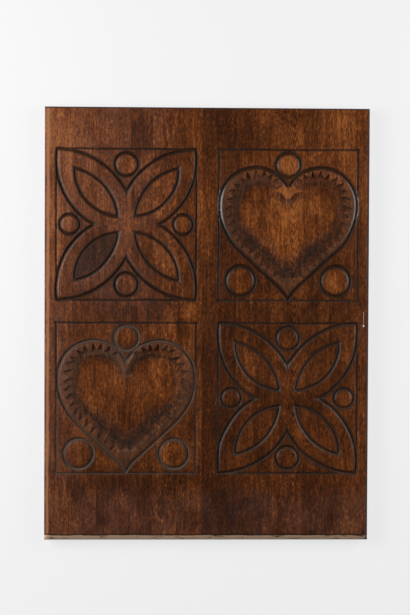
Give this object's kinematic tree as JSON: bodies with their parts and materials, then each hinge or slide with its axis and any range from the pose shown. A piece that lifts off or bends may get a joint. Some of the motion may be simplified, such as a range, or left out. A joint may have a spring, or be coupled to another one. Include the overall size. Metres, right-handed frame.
{
  "type": "carved wainscot panel",
  "caption": "Carved oak wainscot panel with compass-drawn flowers and toothed sunk hearts in scratched borders, held by its edges in a frame.",
  "frame": {"origin": "middle of the flat back face", "axes": "+X to the right of the carving, +Y to its top edge, +Z out of the carved face"},
  "size_m": [0.75, 1, 0.03],
  "materials": {
    "stained_oak": "dark brown stain under worn wax, semi-gloss, bare worn edges"
  },
  "bodies": {
    "root": {"carved_panel": "stained_oak"}
  },
  "joints": []
}
